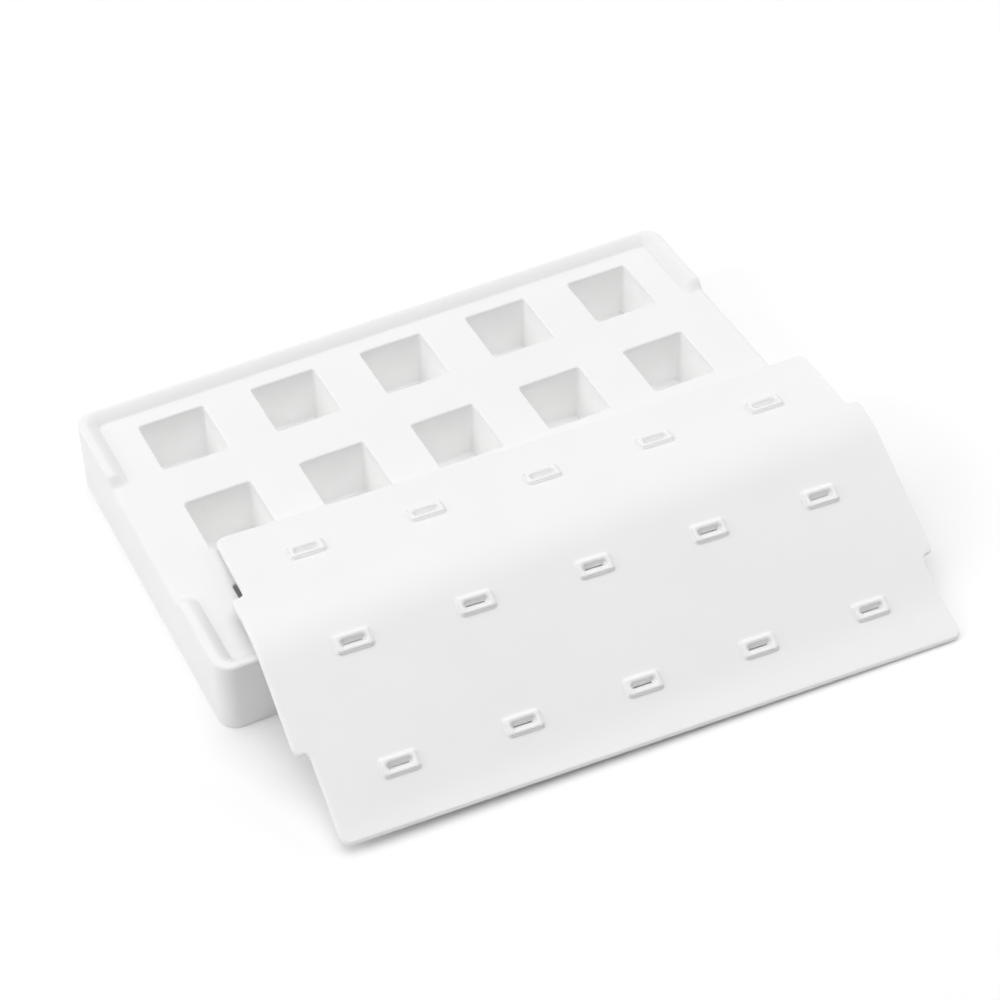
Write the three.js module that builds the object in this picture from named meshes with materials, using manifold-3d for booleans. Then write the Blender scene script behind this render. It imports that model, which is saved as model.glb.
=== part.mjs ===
// A silicone mould for fifteen small square bars, with its slotted flexible lid drawn off towards the front.
// Millimetres, +Z up. The origin is the centre of the tray's underside, on the surface that the mould stands on.
// X runs along the tray's long side, and the lid hangs over the tray's front side, at -Y.

import * as THREE from "three";
import { mergeVertices } from "three/addons/utils/BufferGeometryUtils.js";
import Module from "manifold-3d";

const wasm = await Module();
wasm.setup();

const degrees = THREE.MathUtils.degToRad;

// Cavities, one for each bar
const COLUMNS = 5;
const ROWS = 3;
const PITCH = 55;
const CAVITY_SIDE = 31.4;
const CAVITY_DEPTH = 30;
const CAVITY_CORNER = 1.6;

// Tray: a deck inside a low rim, on a skirt wall and fifteen cups
const TRAY_LENGTH = 302;
const TRAY_WIDTH = 172.5;
const TRAY_CORNER = 8;
const DECK_HEIGHT = 34;
const DECK_THICKNESS = 4;
const RIM_RISE = 4;
const END_RIM = 7.4;
const SIDE_RIM = 5.85;
const RECESS_CORNER = 4;
const TAB_GAP = 80;
const SKIRT = 4;
const CUP_WALL = 3;

// Lid, measured flat
const LID_LENGTH = 286.8;
const LID_WIDTH = 160;
const LID_THICKNESS = 2.6;
const LID_CORNER = 4.5;
const TAB_LENGTH = 78.4;
const TAB_REACH = 6;
const TAB_CORNER = 2;

// Collars on the lid, one over each cavity, with a slot for a flat stick through each
const COLLAR_LENGTH = 16.4;
const COLLAR_WIDTH = 8.4;
const COLLAR_RISE = 1.6;
const COLLAR_CORNER = 1.8;
const SLOT_LENGTH = 11.2;
const SLOT_WIDTH = 3.2;
const SLOT_CORNER = 0.8;

// How the lid lies: the middle of its rear edge, its turn from above, and its slope down from rear to front
const LID_X = 14.7;
const LID_REAR_Y = -22.9;
const LID_REAR_Z = 37.7;
const LID_YAW = degrees(3.45);
const REAR_SLOPE = degrees(-6.5);
const FRONT_SLOPE = degrees(25.1);
const TOE_SLOPE = degrees(13);
const REAR_RUN = 46;
const CREST_RADIUS = 45;
const FRONT_RUN = 70;
const TOE_RADIUS = 70;

// Modelling steps and clearances
const CORNER_STEPS = 6;
const BEND_STEP = degrees(2.6);
const OUTLINE_STEP = 9;
const CUT_MARGIN = 1;
const JOINT_GAP = 0.3;

// Solids

function solidOf(geometry, matrix = new THREE.Matrix4()) {
  const shell = geometry.clone().applyMatrix4(matrix);
  shell.deleteAttribute("normal");
  shell.deleteAttribute("uv");
  const merged = mergeVertices(shell, 1e-4);
  return new wasm.Manifold(
    new wasm.Mesh({
      numProp: 3,
      vertProperties: new Float32Array(merged.getAttribute("position").array),
      triVerts: new Uint32Array(merged.index.array),
    }),
  );
}

function meshOf(name, solid, material) {
  const { vertProperties, triVerts } = solid.getMesh();
  const geometry = new THREE.BufferGeometry();
  geometry.setAttribute("position", new THREE.BufferAttribute(vertProperties, 3));
  geometry.setIndex(new THREE.BufferAttribute(triVerts, 1));
  geometry.computeVertexNormals();
  const mesh = new THREE.Mesh(geometry, material);
  mesh.name = name;
  return mesh;
}

// Rounds the corners of a right-angled outline. Each corner is [x, y, radius].
function roundedOutline(corners) {
  const points = [];
  corners.forEach(([x, y, radius], i) => {
    const corner = new THREE.Vector2(x, y);
    const before = new THREE.Vector2(...corners.at(i - 1)).sub(corner).setLength(radius);
    const after = new THREE.Vector2(...corners[(i + 1) % corners.length]).sub(corner).setLength(radius);
    for (let step = 0; step <= CORNER_STEPS; step++) {
      const turn = ((Math.PI / 2) * step) / CORNER_STEPS;
      const towardsCorner = after.clone().multiplyScalar(Math.cos(turn));
      towardsCorner.addScaledVector(before, Math.sin(turn));
      points.push(corner.clone().add(before).add(after).sub(towardsCorner));
    }
  });
  return points;
}

function rectangleOutline(length, width, radius) {
  const [x, y] = [length / 2, width / 2];
  return roundedOutline([
    [x, y, radius],
    [-x, y, radius],
    [-x, -y, radius],
    [x, -y, radius],
  ]);
}

function prism(outline, bottom, top, matrix) {
  const geometry = new THREE.ExtrudeGeometry(new THREE.Shape(outline), {
    depth: top - bottom,
    bevelEnabled: false,
  });
  geometry.translate(0, 0, bottom);
  return solidOf(geometry, matrix);
}

// Calls make(x, y) at the centre of every cavity, in the frame of the tray or of the flat lid.
function atEachCavity(make) {
  for (let row = 0; row < ROWS; row++) {
    for (let column = 0; column < COLUMNS; column++) {
      make((column - (COLUMNS - 1) / 2) * PITCH, (row - (ROWS - 1) / 2) * PITCH);
    }
  }
}

// Tray

function tray() {
  const top = DECK_HEIGHT + RIM_RISE;
  let body = prism(rectangleOutline(TRAY_LENGTH, TRAY_WIDTH, TRAY_CORNER), 0, top);

  const recess = rectangleOutline(TRAY_LENGTH - 2 * END_RIM, TRAY_WIDTH - 2 * SIDE_RIM, RECESS_CORNER);
  body = body.subtract(prism(recess, DECK_HEIGHT, top + CUT_MARGIN));

  const gap = new THREE.BoxGeometry(TRAY_LENGTH + 2 * CUT_MARGIN, TAB_GAP, RIM_RISE + CUT_MARGIN);
  gap.translate(0, 0, DECK_HEIGHT + (RIM_RISE + CUT_MARGIN) / 2);
  body = body.subtract(solidOf(gap));

  const inside = rectangleOutline(TRAY_LENGTH - 2 * SKIRT, TRAY_WIDTH - 2 * SKIRT, TRAY_CORNER - SKIRT);
  let underside = prism(inside, -CUT_MARGIN, DECK_HEIGHT - DECK_THICKNESS);
  const cupSide = CAVITY_SIDE + 2 * CUP_WALL;
  const cup = prism(rectangleOutline(cupSide, cupSide, CAVITY_CORNER + CUP_WALL), -2 * CUT_MARGIN, DECK_HEIGHT);
  atEachCavity((x, y) => {
    underside = underside.subtract(cup.translate(x, y, 0));
  });
  body = body.subtract(underside);

  const floor = DECK_HEIGHT - CAVITY_DEPTH;
  const cavity = prism(rectangleOutline(CAVITY_SIDE, CAVITY_SIDE, CAVITY_CORNER), floor, top);
  atEachCavity((x, y) => {
    body = body.subtract(cavity.translate(x, y, 0));
  });
  return body;
}

// Lid. A point of the flat lid is (along, across): along its length, and across it from its middle towards its
// front edge. The lid bends only about lines along X, so a point's place depends on its travel, the distance
// towards the front, at right angles to X, from the middle of the rear edge.

const DRAPE = [
  { length: REAR_RUN, turn: 0 },
  { length: CREST_RADIUS * (FRONT_SLOPE - REAR_SLOPE), turn: FRONT_SLOPE - REAR_SLOPE },
  { length: FRONT_RUN, turn: 0 },
  { length: TOE_RADIUS * (FRONT_SLOPE - TOE_SLOPE), turn: TOE_SLOPE - FRONT_SLOPE },
  { length: LID_WIDTH, turn: 0 },
];
const FLEX_TRAVEL = DRAPE[0].length + DRAPE[1].length / 2;

// The place and downward slope of the lid's middle surface at a travel, moved out by offset along its normal.
function drape(travel, offset = 0) {
  let [y, z, slope, left] = [LID_REAR_Y, LID_REAR_Z, REAR_SLOPE, travel];
  for (const run of DRAPE) {
    const step = Math.min(left, run.length);
    const curvature = run.turn / run.length;
    const next = slope + curvature * step;
    if (curvature === 0) {
      y -= Math.cos(slope) * step;
      z -= Math.sin(slope) * step;
    } else {
      y -= (Math.sin(next) - Math.sin(slope)) / curvature;
      z += (Math.cos(next) - Math.cos(slope)) / curvature;
    }
    slope = next;
    left -= step;
    if (left <= 0) break;
  }
  return { y: y - Math.sin(slope) * offset, z: z + Math.cos(slope) * offset, slope };
}

function lidPlace(along, across) {
  const x = LID_X + along * Math.cos(LID_YAW) - across * Math.sin(LID_YAW);
  const travel = LID_WIDTH / 2 + along * Math.sin(LID_YAW) + across * Math.cos(LID_YAW);
  return { x, travel };
}

// A lengthwise slab of the bent sheet between two travels, wider than the lid.
function sheet(from, to) {
  const stations = [from];
  let start = 0;
  for (const run of DRAPE) {
    const steps = Math.max(1, Math.ceil(Math.abs(run.turn) / BEND_STEP));
    for (let step = 0; step < steps; step++) {
      stations.push(start + (run.length * step) / steps);
    }
    start += run.length;
  }
  const kept = stations.filter((travel) => travel >= from && travel < to);
  kept.push(to);
  const side = (travels, offset) =>
    travels.map((travel) => {
      const { y, z } = drape(travel, offset);
      return new THREE.Vector2(y, z);
    });
  const section = [
    ...side(kept, LID_THICKNESS / 2),
    ...side(kept.toReversed(), -LID_THICKNESS / 2),
  ];
  const alongX = new THREE.Matrix4().makeBasis(
    new THREE.Vector3(0, 1, 0),
    new THREE.Vector3(0, 0, 1),
    new THREE.Vector3(1, 0, 0),
  );
  return prism(section, -TRAY_LENGTH, TRAY_LENGTH, alongX);
}

// The lid's outline seen from above once it is bent: a rectangle with a tab in the middle of each short side.
function lidOutline() {
  const [end, side] = [LID_LENGTH / 2, LID_WIDTH / 2];
  const [tabEnd, tabSide] = [end + TAB_REACH, TAB_LENGTH / 2];
  const flat = roundedOutline([
    [end, -side, LID_CORNER],
    [end, -tabSide, TAB_CORNER],
    [tabEnd, -tabSide, TAB_CORNER],
    [tabEnd, tabSide, TAB_CORNER],
    [end, tabSide, TAB_CORNER],
    [end, side, LID_CORNER],
    [-end, side, LID_CORNER],
    [-end, tabSide, TAB_CORNER],
    [-tabEnd, tabSide, TAB_CORNER],
    [-tabEnd, -tabSide, TAB_CORNER],
    [-end, -tabSide, TAB_CORNER],
    [-end, -side, LID_CORNER],
  ]);
  const bent = [];
  flat.forEach((point, i) => {
    const next = flat[(i + 1) % flat.length];
    const pieces = Math.ceil(point.distanceTo(next) / OUTLINE_STEP);
    for (let piece = 0; piece < pieces; piece++) {
      const between = point.clone().lerp(next, piece / pieces);
      const { x, travel } = lidPlace(between.x, between.y);
      bent.push(new THREE.Vector2(x, drape(travel).y));
    }
  });
  return bent;
}

// The frame that stands on the sheet's middle surface at a point of the flat lid.
function standingOnLid(along, across) {
  const { x, travel } = lidPlace(along, across);
  const { y, z, slope } = drape(travel);
  const tilt = new THREE.Matrix4().makeRotationX(slope);
  const yaw = new THREE.Matrix4().makeRotationZ(-LID_YAW);
  return new THREE.Matrix4().makeTranslation(x, y, z).multiply(tilt).multiply(yaw);
}

function lidPanel(from, to) {
  let panel = sheet(from, to).intersect(prism(lidOutline(), -CUT_MARGIN, 2 * DECK_HEIGHT));
  const collar = rectangleOutline(COLLAR_LENGTH, COLLAR_WIDTH, COLLAR_CORNER);
  const slot = rectangleOutline(SLOT_LENGTH, SLOT_WIDTH, SLOT_CORNER);
  const collarTop = LID_THICKNESS / 2 + COLLAR_RISE;
  atEachCavity((along, across) => {
    const { travel } = lidPlace(along, across);
    if (travel < from || travel > to) return;
    const place = standingOnLid(along, across);
    panel = panel.add(prism(collar, 0, collarTop, place));
    panel = panel.subtract(prism(slot, -LID_THICKNESS, collarTop + CUT_MARGIN, place));
  });
  return panel;
}

// Assembly

const silicone = new THREE.MeshStandardMaterial({ color: 0xf1f1ef, roughness: 0.55, metalness: 0 });
const lidSilicone = new THREE.MeshStandardMaterial({ color: 0xf3f3f1, roughness: 0.5, metalness: 0 });

const lid = new THREE.Group();
lid.add(meshOf("lid_rear_panel", lidPanel(-LID_WIDTH / 4, FLEX_TRAVEL - JOINT_GAP / 2), lidSilicone));
lid.add(meshOf("lid_front_panel", lidPanel(FLEX_TRAVEL + JOINT_GAP / 2, LID_WIDTH * 1.25), lidSilicone));

const mould = new THREE.Group();
mould.add(meshOf("mould_tray", tray(), silicone));
mould.add(lid);

export default mould;
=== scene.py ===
import math

import bmesh
import bpy
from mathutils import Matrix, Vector
from mathutils.geometry import delaunay_2d_cdt


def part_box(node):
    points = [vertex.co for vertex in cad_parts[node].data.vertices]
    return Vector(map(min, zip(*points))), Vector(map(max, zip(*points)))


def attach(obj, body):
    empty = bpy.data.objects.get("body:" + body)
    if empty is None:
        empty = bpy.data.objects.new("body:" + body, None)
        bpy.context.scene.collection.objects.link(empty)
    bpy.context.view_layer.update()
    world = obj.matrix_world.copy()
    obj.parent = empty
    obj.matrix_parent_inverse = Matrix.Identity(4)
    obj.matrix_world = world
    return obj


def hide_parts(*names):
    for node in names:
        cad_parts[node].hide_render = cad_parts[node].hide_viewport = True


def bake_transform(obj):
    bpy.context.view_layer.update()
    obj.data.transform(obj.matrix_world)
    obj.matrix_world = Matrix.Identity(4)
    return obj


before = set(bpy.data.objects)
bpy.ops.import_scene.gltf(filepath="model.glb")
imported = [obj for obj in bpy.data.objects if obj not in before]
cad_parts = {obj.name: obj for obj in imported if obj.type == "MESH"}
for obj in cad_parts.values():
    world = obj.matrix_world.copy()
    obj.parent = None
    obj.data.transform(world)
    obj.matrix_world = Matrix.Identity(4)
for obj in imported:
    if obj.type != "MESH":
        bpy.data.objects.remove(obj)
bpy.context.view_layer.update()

MM = 0.001

# Tray, in metres. Its outer size comes from the frame.
TRAY_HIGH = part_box("mould_tray")[1]
HALF_LENGTH = TRAY_HIGH.x
HALF_WIDTH = TRAY_HIGH.y
RIM_TOP = TRAY_HIGH.z
RIM_RISE = 4 * MM
DECK = RIM_TOP - RIM_RISE
OUTER_CORNER = 8 * MM
END_RIM = 7.4 * MM
SIDE_RIM = 5.85 * MM
RECESS_CORNER = 4 * MM
TAB_GAP = 80 * MM
GAP_SLOPE = 6.5 * MM
DECK_THICKNESS = 4 * MM
SKIRT = 4 * MM

# Cavities, five by three
COLUMNS = 5
ROWS = 3
PITCH = 55 * MM
CAVITY_SIDE = 31.4 * MM
CAVITY_DEPTH = 30 * MM
CAVITY_CORNER = 1.6 * MM
CUP_WALL = 3 * MM

# Lid, flat
LID_LENGTH = 286.8 * MM
LID_WIDTH = 160 * MM
LID_THICKNESS = 2.6 * MM
LID_CORNER = 4.5 * MM
TAB_LENGTH = 78.4 * MM
TAB_REACH = 6 * MM
TAB_CORNER = 2.6 * MM
COLLAR_LENGTH = 16.4 * MM
COLLAR_WIDTH = 8.4 * MM
COLLAR_RISE = 1.6 * MM
COLLAR_CORNER = 1.8 * MM
SLOT_LENGTH = 11.2 * MM
SLOT_WIDTH = 3.2 * MM
SLOT_CORNER = 1.4 * MM

# How the lid lies: the middle of its rear edge, its turn from above, and its slope down from rear to front
LID_X = 14.7 * MM
LID_REAR_Y = -22.9 * MM
LID_REAR_Z = 37.7 * MM
LID_YAW = math.radians(3.45)
REAR_SLOPE = math.radians(-6.5)
FRONT_SLOPE = math.radians(25.1)
TOE_SLOPE = math.radians(13)
REAR_RUN = 46 * MM
CREST_RADIUS = 45 * MM
FRONT_RUN = 70 * MM
TOE_RADIUS = 70 * MM
CORNER_LIFT = 2.5 * MM
LIFT_FROM = 60 * MM
LIFT_REACH = 60 * MM

# Mesh fineness
CORNER_STEPS = 8
ROUND_STEPS = 5
SHEET_STEP = 3 * MM


# Mesh building. A loop is a closed row of vertex numbers, and loops that are joined have equal counts.

class Shell:
    def __init__(self):
        self.points = []
        self.faces = []

    def loop(self, points):
        first = len(self.points)
        self.points.extend(points)
        return list(range(first, len(self.points)))

    def bridge(self, loop, other):
        for i in range(len(loop)):
            j = (i + 1) % len(loop)
            self.faces.append((loop[i], loop[j], other[j], other[i]))

    def stack(self, loops):
        """Joins each loop of points to the next, and returns the first and the last."""
        made = [self.loop(points) for points in loops]
        for lower, upper in zip(made, made[1:]):
            self.bridge(lower, upper)
        return made[0], made[-1]

    def cap(self, loop):
        self.faces.append(tuple(loop))

    def plate(self, outer, holes, inner_points=()):
        """Fills a level region between one outer loop and the convex loops of its holes."""
        numbers = list(outer)
        for hole in holes:
            numbers.extend(hole)
        numbers.extend(self.loop(inner_points))
        edges = []
        start = 0
        for loop in [outer, *holes]:
            count = len(loop)
            edges.extend((start + i, start + (i + 1) % count) for i in range(count))
            start += count
        flat = [Vector(self.points[n][:2]) for n in numbers]
        _, _, faces, sources, _, _ = delaunay_2d_cdt(flat, edges, [], 1, 1e-7)
        hole_of = {n: i for i, hole in enumerate(holes) for n in hole}
        for face in faces:
            corners = tuple(numbers[sources[v][0]] for v in face)
            touched = {hole_of.get(n) for n in corners}
            if len(touched) == 1 and None not in touched:
                continue
            self.faces.append(corners)

    def mesh(self, name, place=None):
        points = [place(p) for p in self.points] if place else self.points
        mesh = bpy.data.meshes.new(name)
        mesh.from_pydata(points, [], self.faces)
        mesh.validate()
        work = bmesh.new()
        work.from_mesh(mesh)
        bmesh.ops.recalc_face_normals(work, faces=work.faces)
        for face in work.faces:
            face.smooth = True
        work.to_mesh(mesh)
        work.free()
        piece = bpy.data.objects.new(name, mesh)
        bpy.context.scene.collection.objects.link(piece)
        flat_first = piece.modifiers.new("flat faces first", "WEIGHTED_NORMAL")
        flat_first.mode = "FACE_AREA"
        flat_first.weight = 80
        return piece


def arc(start, end, steps=ROUND_STEPS):
    """(cosine, sine) pairs from one angle to another, in degrees."""
    angles = [math.radians(start + (end - start) * i / steps) for i in range(steps + 1)]
    return [(math.cos(a), math.sin(a)) for a in angles]


def rounded_outline(corners):
    """Points round a right-angled outline. Each corner is (x, y, radius)."""
    points = []
    for i, (x, y, radius) in enumerate(corners):
        corner = Vector((x, y))
        before = (Vector(corners[i - 1][:2]) - corner).normalized() * radius
        after = (Vector(corners[(i + 1) % len(corners)][:2]) - corner).normalized() * radius
        for c, s in arc(0, 90, CORNER_STEPS):
            points.append(corner + before + after - after * c - before * s)
    return points


def rectangle(half_x, half_y, radius, centre):
    x, y = centre
    return rounded_outline([
        (x + half_x, y + half_y, radius),
        (x - half_x, y + half_y, radius),
        (x - half_x, y - half_y, radius),
        (x + half_x, y - half_y, radius),
    ])


def at_height(points, z):
    return [(p.x, p.y, z) for p in points]


def cavity_centres():
    for row in range(ROWS):
        for column in range(COLUMNS):
            yield (column - (COLUMNS - 1) / 2) * PITCH, (row - (ROWS - 1) / 2) * PITCH


# Tray

def smoothstep(t):
    t = min(max(t, 0), 1)
    return t * t * (3 - 2 * t)


def rim_share(x, y):
    """1 where the rim stands, 0 in the gaps for the lid's tabs, and a smooth slope between."""
    if abs(x) < HALF_LENGTH / 2:
        return 1
    return smoothstep((abs(y) - TAB_GAP / 2) / GAP_SLOPE + 0.5)


def by_rim_share(rim_points, gap_points):
    """Mixes the tray edge's shape at its rim with its shape in the tab gaps."""
    mixed = []
    for rim, gap in zip(rim_points, gap_points):
        share = rim_share(rim[0], rim[1])
        mixed.append(Vector(gap).lerp(Vector(rim), share))
    return mixed


def tray_perimeter(half_x, half_y, radius):
    """A rounded rectangle with extra points where the rim starts and ends on the short sides."""
    slope_steps = 10
    level_steps = 6
    steps_in_pitch = 4
    beside_gap = 60 * MM
    slope = [TAB_GAP / 2 + GAP_SLOPE * (i / slope_steps - 0.5) for i in range(slope_steps + 1)]
    level = [TAB_GAP / 2 * i / level_steps for i in range(1, level_steps)]
    short = [beside_gap, *reversed(slope), *reversed(level)]
    down = [*short, 0, *(-y for y in reversed(short))]
    last = COLUMNS * steps_in_pitch // 2
    across = [PITCH * i / steps_in_pitch for i in range(-last, last + 1)]
    quarter = arc(0, 90, CORNER_STEPS)
    points = []
    for sign_x, sign_y in ((1, 1), (-1, 1), (-1, -1), (1, -1)):
        cx, cy = sign_x * (half_x - radius), sign_y * (half_y - radius)
        turned = quarter if sign_x * sign_y > 0 else quarter[::-1]
        points.extend(Vector((cx + sign_x * radius * c, cy + sign_y * radius * s)) for c, s in turned)
        if (sign_x, sign_y) == (1, 1):
            points.extend(Vector((x, half_y)) for x in reversed(across))
        elif (sign_x, sign_y) == (-1, 1):
            points.extend(Vector((-half_x, y)) for y in down)
        elif (sign_x, sign_y) == (-1, -1):
            points.extend(Vector((x, -half_y)) for x in across)
        else:
            points.extend(Vector((half_x, y)) for y in reversed(down))
    return points


def make_tray():
    shell = Shell()
    rim_round = 1.5 * MM
    gap_round = 2.4 * MM
    foot_round = 1.0 * MM
    # The rim's inner side starts near its outer edge, gets steeper as it falls, and ends inside the recess.
    inner_start = 4.2 * MM
    inner_end = -1.8 * MM
    inner_curve = 1.45
    inner_steps = 10

    def outer(inset, z):
        points = tray_perimeter(HALF_LENGTH - inset, HALF_WIDTH - inset, OUTER_CORNER - inset)
        return at_height(points, z)

    def recess(outset, z):
        points = tray_perimeter(
            HALF_LENGTH - END_RIM + outset, HALF_WIDTH - SIDE_RIM + outset, RECESS_CORNER + outset
        )
        return at_height(points, z)

    loops = [outer(foot_round * (1 - c), foot_round * (1 + s)) for c, s in arc(-90, 0)]
    loops += [
        by_rim_share(
            outer(rim_round * (1 - c), RIM_TOP - rim_round * (1 - s)),
            outer(gap_round * (1 - c), DECK - gap_round * (1 - s)),
        )
        for c, s in arc(0, 90)
    ]
    for i in range(inner_steps + 1):
        t = i / inner_steps
        outset = inner_start + (inner_end - inner_start) * t
        rise = RIM_RISE * (1 - t ** inner_curve)
        loops.append(by_rim_share(recess(outset, DECK + rise), recess(outset, DECK)))
    bottom, deck_edge = shell.stack(loops)

    mouths = [cavity(shell, centre) for centre in cavity_centres()]
    shell.plate(deck_edge, mouths)

    cups = [cup(shell, centre) for centre in cavity_centres()]
    inside = under_skirt(shell, bottom)
    shell.plate(inside, cups)
    return shell.mesh("tray_moulding")


def cavity(shell, centre):
    """One cavity, from its rounded mouth on the deck down to its floor. Returns the mouth's loop."""
    mouth_round = 0.9 * MM
    floor_round = 1.2 * MM
    half = CAVITY_SIDE / 2
    floor = DECK - CAVITY_DEPTH

    def ring(outset, z):
        return at_height(rectangle(half + outset, half + outset, CAVITY_CORNER + outset, centre), z)

    loops = [ring(mouth_round * (1 - s), DECK - mouth_round * (1 - c)) for c, s in arc(0, 90)]
    loops += [ring(-floor_round * (1 - c), floor + floor_round * (1 - s)) for c, s in arc(0, 90)]
    mouth, bottom = shell.stack(loops)
    shell.cap(bottom)
    return mouth


def cup(shell, centre):
    """The outside of one cavity, under the deck. Returns its loop on the deck's underside."""
    root_round = 2.0 * MM
    foot_round = 1.6 * MM
    half = CAVITY_SIDE / 2 + CUP_WALL
    corner = CAVITY_CORNER + CUP_WALL
    ceiling = DECK - DECK_THICKNESS

    def ring(outset, z):
        return at_height(rectangle(half + outset, half + outset, corner + outset, centre), z)

    loops = [ring(root_round * (1 - s), ceiling - root_round * (1 - c)) for c, s in arc(0, 90)]
    loops += [ring(-foot_round * (1 - c), foot_round * (1 - s)) for c, s in arc(0, 90)]
    root, foot = shell.stack(loops)
    shell.cap(foot)
    return root


def under_skirt(shell, bottom):
    """The skirt's inner wall, from the foot of the outer wall up to the deck's underside."""
    foot_round = 1.0 * MM
    root_round = 3.0 * MM
    ceiling = DECK - DECK_THICKNESS

    def ring(inset, z):
        return at_height(
            tray_perimeter(HALF_LENGTH - inset, HALF_WIDTH - inset, OUTER_CORNER - inset), z
        )

    loops = [ring(SKIRT - foot_round * (1 - c), foot_round * (1 - s)) for c, s in reversed(arc(0, 90))]
    loops += [
        ring(SKIRT + root_round * (1 - c), ceiling - root_round * (1 - s)) for c, s in arc(0, 90)
    ]
    first, last = shell.stack(loops)
    shell.bridge(bottom, first)
    return last


# Lid. It is built flat as (along, across, height), with across towards its front edge, and then bent about
# lines along X. Travel is the distance towards the front from the middle of the rear edge.

DRAPE = [
    (REAR_RUN, 0),
    (CREST_RADIUS * (FRONT_SLOPE - REAR_SLOPE), FRONT_SLOPE - REAR_SLOPE),
    (FRONT_RUN, 0),
    (TOE_RADIUS * (FRONT_SLOPE - TOE_SLOPE), TOE_SLOPE - FRONT_SLOPE),
    (LID_WIDTH, 0),
]


def drape(travel, offset=0):
    """The place (y, z) and downward slope at a travel, moved out along the sheet's normal."""
    y, z, slope, left = LID_REAR_Y, LID_REAR_Z, REAR_SLOPE, travel
    for length, turn in DRAPE:
        step = min(left, length)
        curvature = turn / length
        ahead = slope + curvature * step
        if curvature == 0:
            y -= math.cos(slope) * step
            z -= math.sin(slope) * step
        else:
            y -= (math.sin(ahead) - math.sin(slope)) / curvature
            z += (math.cos(ahead) - math.cos(slope)) / curvature
        slope = ahead
        left -= step
        if left <= 0:
            break
    return y - math.sin(slope) * offset, z + math.cos(slope) * offset, slope


def lay(point):
    """Takes a point of the flat lid to where it lies."""
    along, across, height = point
    x = LID_X + along * math.cos(LID_YAW) - across * math.sin(LID_YAW)
    travel = LID_WIDTH / 2 + along * math.sin(LID_YAW) + across * math.cos(LID_YAW)
    y, z, _ = drape(travel, height)
    towards_end = max((along - LIFT_FROM) / (LID_LENGTH / 2 - LIFT_FROM), 0)
    towards_rear = max(1 - travel / LIFT_REACH, 0)
    return x, y, z + CORNER_LIFT * towards_end ** 2 * towards_rear


def lid_outline(inset):
    """The lid's flat outline, moved in all round. Inner corners grow as outer ones shrink."""
    end, side = LID_LENGTH / 2 - inset, LID_WIDTH / 2 - inset
    tab_end, tab_side = LID_LENGTH / 2 + TAB_REACH - inset, TAB_LENGTH / 2 - inset
    corners = []
    for sign_x, turned in ((1, -1), (-1, 1)):
        quarter = [
            (end, side, LID_CORNER - inset),
            (end, tab_side, TAB_CORNER + inset),
            (tab_end, tab_side, TAB_CORNER - inset),
        ]
        for x, y, radius in quarter:
            corners.append((sign_x * x, turned * y, radius))
        for x, y, radius in reversed(quarter):
            corners.append((sign_x * x, -turned * y, radius))
    points = rounded_outline(corners)
    fine = []
    for i, point in enumerate(points):
        nxt = points[(i + 1) % len(points)]
        pieces = EDGE_PIECES[i]
        fine.extend(point.lerp(nxt, k / pieces) for k in range(pieces))
    return fine


def edge_pieces():
    """How many pieces each step of the outline is cut into, so that every inset has equal counts."""
    corner_points = CORNER_STEPS + 1
    end_run = (LID_WIDTH - TAB_LENGTH) / 2
    runs = [end_run, TAB_REACH, TAB_LENGTH, TAB_REACH, end_run, LID_LENGTH]
    pieces = []
    for run in runs * 2:
        pieces += [1] * (corner_points - 1) + [math.ceil(run / SHEET_STEP)]
    return pieces


EDGE_PIECES = edge_pieces()


def sheet_points(rectangles):
    """A grid of points inside the lid's outline, clear of its edge and of the given rectangles.
    Each rectangle is its centre's x and y and its half length and half width."""
    clear = SHEET_STEP * 0.6
    end, side = LID_LENGTH / 2, LID_WIDTH / 2
    columns = round(2 * (end + TAB_REACH) / SHEET_STEP)
    rows = round(2 * side / SHEET_STEP)
    points = []
    for i in range(columns + 1):
        for j in range(rows + 1):
            x = -(end + TAB_REACH) + 2 * (end + TAB_REACH) * i / columns
            y = -side + 2 * side * j / rows
            in_body = abs(x) < end - clear and abs(y) < side - clear
            in_tab = abs(x) < end + TAB_REACH - clear and abs(y) < TAB_LENGTH / 2 - clear
            if not (in_body or in_tab):
                continue
            in_rectangle = any(
                abs(x - cx) < half_x + clear and abs(y - cy) < half_y + clear
                for cx, cy, half_x, half_y in rectangles
            )
            if not in_rectangle:
                points.append((x, y))
    return points


def make_lid():
    shell = Shell()
    top_round = 1.1 * MM
    bottom_round = 0.6 * MM
    collar_margin = 1.2 * MM
    slot_margin = 0.4 * MM
    half = LID_THICKNESS / 2

    def ring(inset, height):
        return at_height(lid_outline(inset), height)

    loops = [ring(bottom_round * (1 - s), -half + bottom_round * (1 - c)) for c, s in arc(0, 90)]
    loops += [ring(top_round * (1 - c), half - top_round * (1 - s)) for c, s in arc(0, 90)]
    under_edge, top_edge = shell.stack(loops)

    tops, unders = [], []
    for centre in cavity_centres():
        base, exit_loop = collar(shell, centre)
        tops.append(base)
        unders.append(exit_loop)

    base_half = (COLLAR_LENGTH / 2 + collar_margin, COLLAR_WIDTH / 2 + collar_margin)
    slot_half = (SLOT_LENGTH / 2 + slot_margin, SLOT_WIDTH / 2 + slot_margin)
    around_collars = [(*centre, *base_half) for centre in cavity_centres()]
    around_slots = [(*centre, *slot_half) for centre in cavity_centres()]
    shell.plate(top_edge, tops, [(x, y, half) for x, y in sheet_points(around_collars)])
    shell.plate(under_edge, unders, [(x, y, -half) for x, y in sheet_points(around_slots)])
    return shell.mesh("lid_sheet", lay)


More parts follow.
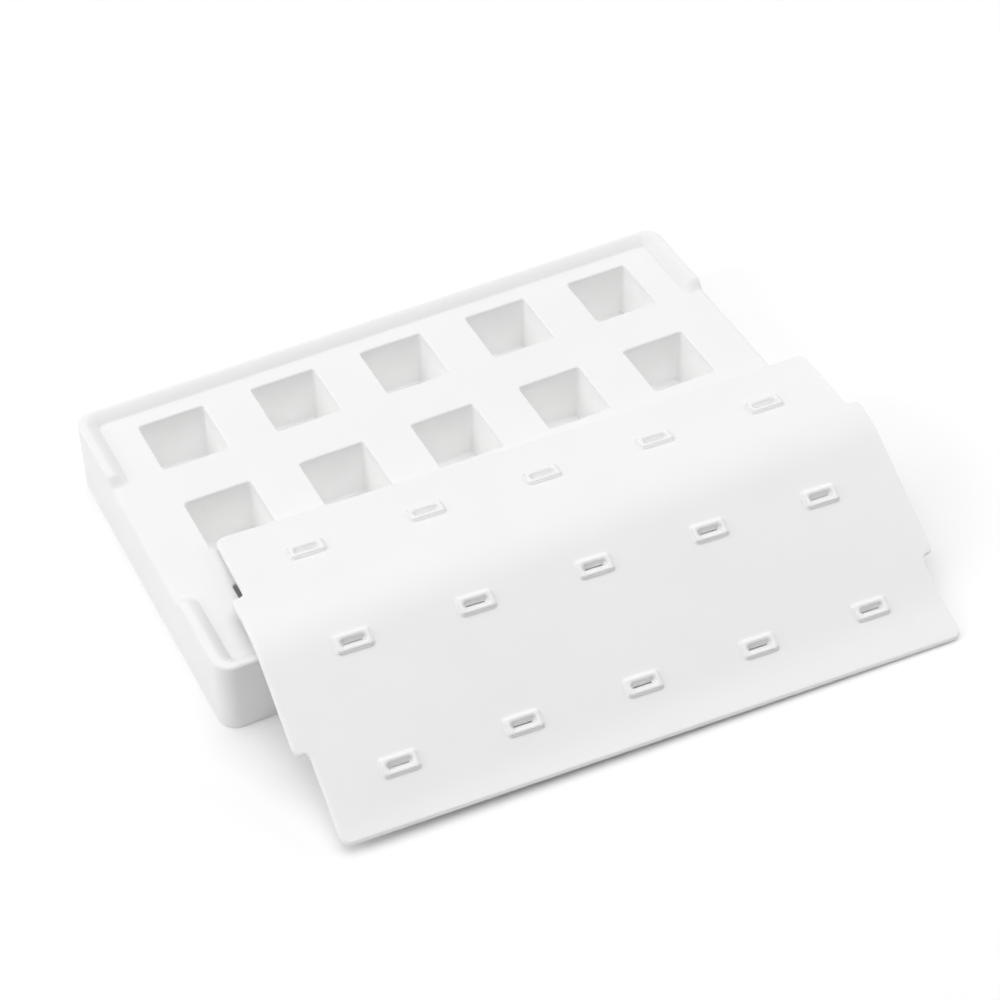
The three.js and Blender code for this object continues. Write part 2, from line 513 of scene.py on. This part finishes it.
def collar(shell, centre):
    """A raised collar with a slot through it, a funnel above a narrow slit.
    Returns its loops on the sheet's top and underside."""
    base_fillet = 0.8 * MM
    draft = 0.5 * MM
    top_round = 0.8 * MM
    slot_round = 1.2 * MM
    slot_taper = 1.3 * MM
    funnel_depth = 2.6 * MM
    exit_round = 0.3 * MM
    half = LID_THICKNESS / 2
    top = half + COLLAR_RISE

    def ring(outset, height):
        points = rectangle(
            COLLAR_LENGTH / 2 + outset, COLLAR_WIDTH / 2 + outset, COLLAR_CORNER + outset, centre
        )
        return at_height(points, height)

    def slot(outset, height):
        points = rectangle(SLOT_LENGTH / 2 + outset, SLOT_WIDTH / 2 + outset, SLOT_CORNER + outset, centre)
        return at_height(points, height)

    loops = [ring(base_fillet * (1 - s), half + base_fillet * (1 - c)) for c, s in arc(0, 90)]
    loops += [ring(-draft - top_round * (1 - c), top - top_round * (1 - s)) for c, s in arc(0, 90)]
    loops += [slot(slot_round * (1 - s), top - slot_round * (1 - c)) for c, s in arc(0, 90)]
    loops.append(slot(-slot_taper, top - funnel_depth))
    loops += [slot(exit_round * (1 - c) - slot_taper, -half + exit_round * (1 - s)) for c, s in arc(0, 90)]
    return shell.stack(loops)


# Materials

class Nodes:
    """A small helper for writing a node tree as nested calls."""
    def __init__(self, material):
        material.use_nodes = True
        self.tree = material.node_tree
        self.skin = self.tree.nodes["Principled BSDF"]

    def feed(self, socket, value):
        if isinstance(value, bpy.types.NodeSocket):
            self.tree.links.new(value, socket)
        else:
            socket.default_value = value

    def node(self, kind, output, inputs, **settings):
        made = self.tree.nodes.new(kind)
        for name, value in settings.items():
            setattr(made, name, value)
        for key, value in inputs.items():
            self.feed(made.inputs[key], value)
        return made.outputs[output]

    def noise(self, place, scale, detail):
        return self.node("ShaderNodeTexNoise", "Fac", {"Vector": place, "Scale": scale, "Detail": detail})

    def math(self, operation, first, second):
        return self.node("ShaderNodeMath", "Value", {0: first, 1: second}, operation=operation)

    def ramp(self, value, start, end, low, high):
        return self.node(
            "ShaderNodeMapRange", "Result",
            {"Value": value, "From Min": start, "From Max": end, "To Min": low, "To Max": high},
        )

    def bump(self, height, strength, distance, below=None):
        inputs = {"Height": height, "Strength": strength, "Distance": distance}
        if below is not None:
            inputs["Normal"] = below
        return self.node("ShaderNodeBump", "Normal", inputs)

    def mix(self, share, first, second):
        return self.node("ShaderNodeMix", 2, {0: share, 6: first, 7: second}, data_type="RGBA")


def off_white(value):
    return value, value, value - 0.002, 1


def silicone(name, white, roughness, polish_and_painted_shade=None):
    """Satin moulded silicone with a faint unevenness and a fine grain. The last argument makes a share, 1
    where the surface is polished and carries painted shade, and a height, 0 where the painted shade is
    darkest and 1 where it is lightest."""
    material = bpy.data.materials.new(name)
    work = Nodes(material)
    skin = work.skin
    skin.inputs["Subsurface Weight"].default_value = 0.3
    skin.inputs["Subsurface Radius"].default_value = (1.0, 1.0, 1.0)
    skin.inputs["Subsurface Scale"].default_value = 1.5 * MM
    skin.inputs["IOR"].default_value = 1.41
    skin.inputs["Specular IOR Level"].default_value = 0.35
    place = work.node("ShaderNodeTexCoord", "Object", {})

    clouds = work.ramp(work.noise(place, scale=28, detail=3), start=0.3, end=0.7, low=0, high=1)
    color = work.mix(clouds, off_white(white * 0.985), off_white(white))
    spots = work.noise(place, scale=60, detail=4)
    rough = work.ramp(spots, start=0, end=1, low=roughness - 0.06, high=roughness + 0.06)
    if polish_and_painted_shade:
        share, height = polish_and_painted_shade(work, place)
        # Painted shade: inside the cavities the colour darkens from 0.985 at the mouth to 0.93 at the
        # floor, standing in for the shade in their depths; the lower roughness there is the real polish
        color = work.mix(share, color, work.mix(height, off_white(0.93), off_white(0.985)))
        rough = work.node("ShaderNodeMix", 0, {0: share, 2: rough, 3: 0.3}, data_type="FLOAT")
    work.feed(skin.inputs["Base Color"], color)
    work.feed(skin.inputs["Roughness"], rough)

    grain = work.bump(work.noise(place, scale=1800, detail=2), strength=0.3, distance=0.04 * MM)
    swell = work.noise(place, scale=22, detail=1)
    work.feed(skin.inputs["Normal"], work.bump(swell, strength=0.25, distance=0.5 * MM, below=grain))
    return material


def in_cavities(work, place):
    """A share, 1 inside the cavities and 0 elsewhere, and the height, 0 at their floors and 1 at the deck.
    Each point is measured from the nearest cavity's centre."""
    parts = work.tree.nodes.new("ShaderNodeSeparateXYZ")
    work.feed(parts.inputs["Vector"], place)
    x, y, z = (parts.outputs[axis] for axis in "XYZ")
    mouth_reach = 1 * MM
    mouth_depth = 1.5 * MM
    along, across = (work.math("PINGPONG", value, PITCH / 2) for value in (x, y))
    from_centre = work.math("MAXIMUM", along, across)
    share = work.math("LESS_THAN", from_centre, CAVITY_SIDE / 2 + mouth_reach)
    within_grid = work.math("LESS_THAN", work.math("ABSOLUTE", x, 0.0), PITCH * COLUMNS / 2)
    above_cups = work.math("GREATER_THAN", z, (DECK - CAVITY_DEPTH) / 2)
    below_deck = work.ramp(z, start=DECK - mouth_depth, end=DECK, low=1, high=0)
    for limit in (within_grid, above_cups, below_deck):
        share = work.math("MULTIPLY", share, limit)
    return share, work.ramp(z, start=DECK - CAVITY_DEPTH, end=DECK, low=0, high=1)


# Studio

def studio_floor():
    half_side = 4.0
    shell = Shell()
    corners = ((-1, -1), (1, -1), (1, 1), (-1, 1))
    shell.cap(shell.loop([(x * half_side, y * half_side, 0) for x, y in corners]))
    floor = shell.mesh("studio_floor")
    paper = bpy.data.materials.new("studio_paper")
    paper.use_nodes = True
    surface = paper.node_tree.nodes["Principled BSDF"]
    surface.inputs["Roughness"].default_value = 0.9
    surface.inputs["Specular IOR Level"].default_value = 0.0
    surface.inputs["Base Color"].default_value = (0.98, 0.98, 0.98, 1)
    floor.data.materials.append(paper)


def softbox(name, place, aim, side, watts):
    """A square area light at a place, turned towards another."""
    light = bpy.data.lights.new(name, "AREA")
    light.shape = "SQUARE"
    light.size = side
    light.energy = watts
    lamp = bpy.data.objects.new(name, light)
    bpy.context.scene.collection.objects.link(lamp)
    lamp.location = place
    lamp.rotation_euler = (Vector(aim) - Vector(place)).to_track_quat("-Z", "Y").to_euler()


def studio_light():
    """A broad light from above, weaker ones from the sides and behind, and a small fill at the front right.
    The many bounces let light reach the bottoms of the white cavities."""
    world = bpy.data.worlds.new("studio")
    bpy.context.scene.world = world
    world.use_nodes = True
    background = world.node_tree.nodes["Background"]
    background.inputs["Color"].default_value = (1, 1, 1, 1)
    background.inputs["Strength"].default_value = 0.15
    centre = (0, -0.05, 0.02)
    softbox("top_softbox", (-0.1, 0.1, 1.9), centre, 2.4, 33)
    softbox("left_softbox", (-1.5, 0.0, 0.95), centre, 1.0, 9)
    softbox("right_softbox", (1.5, 0.0, 0.95), centre, 1.0, 4)
    softbox("rear_left_softbox", (-1.5, 1.6, 1.0), (-0.3, 0.5, 0), 1.0, 4.5)
    softbox("rear_right_softbox", (1.5, 1.6, 1.0), (0.3, 0.5, 0), 1.0, 4.5)
    softbox("fill_softbox", (0.8, -0.45, 0.45), (0.13, -0.12, 0.02), 0.3, 0.9)
    bpy.context.scene.cycles.diffuse_bounces = 12
    bpy.context.scene.cycles.max_bounces = 16


def camera():
    """Looks down from the front left, as far away as a short telephoto lens needs."""
    azimuth, elevation = math.radians(-27.2), math.radians(44.9)
    distance = 1.079
    target = Vector((8.1 * MM, -26.7 * MM, 12.6 * MM))
    forward = Vector((
        -math.sin(azimuth) * math.cos(elevation),
        math.cos(azimuth) * math.cos(elevation),
        -math.sin(elevation),
    ))
    lens = bpy.data.cameras.new("camera")
    lens.sensor_width = 36
    lens.lens = 86.2
    lens.clip_start = 0.01
    eye = bpy.data.objects.new("camera", lens)
    bpy.context.scene.collection.objects.link(eye)
    eye.location = target - forward * distance
    eye.rotation_euler = forward.to_track_quat("-Z", "Y").to_euler()
    bpy.context.scene.camera = eye


# Assembly

camera()
studio_floor()
studio_light()
bpy.context.scene.view_settings.view_transform = "Standard"

tray = make_tray()
# The tray's cavities are polished and carry painted shade, darker towards their floors
tray.data.materials.append(silicone("tray_silicone", 0.87, 0.52, in_cavities))
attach(tray, "tray")
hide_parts("mould_tray")

lid = make_lid()
lid.data.materials.append(silicone("lid_silicone", 0.87, 0.48))
crest_start = drape(REAR_RUN)[:2]
crest_end = drape(REAR_RUN + CREST_RADIUS * (FRONT_SLOPE - REAR_SLOPE))[:2]
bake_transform(lid)
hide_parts("lid_rear_panel", "lid_front_panel")
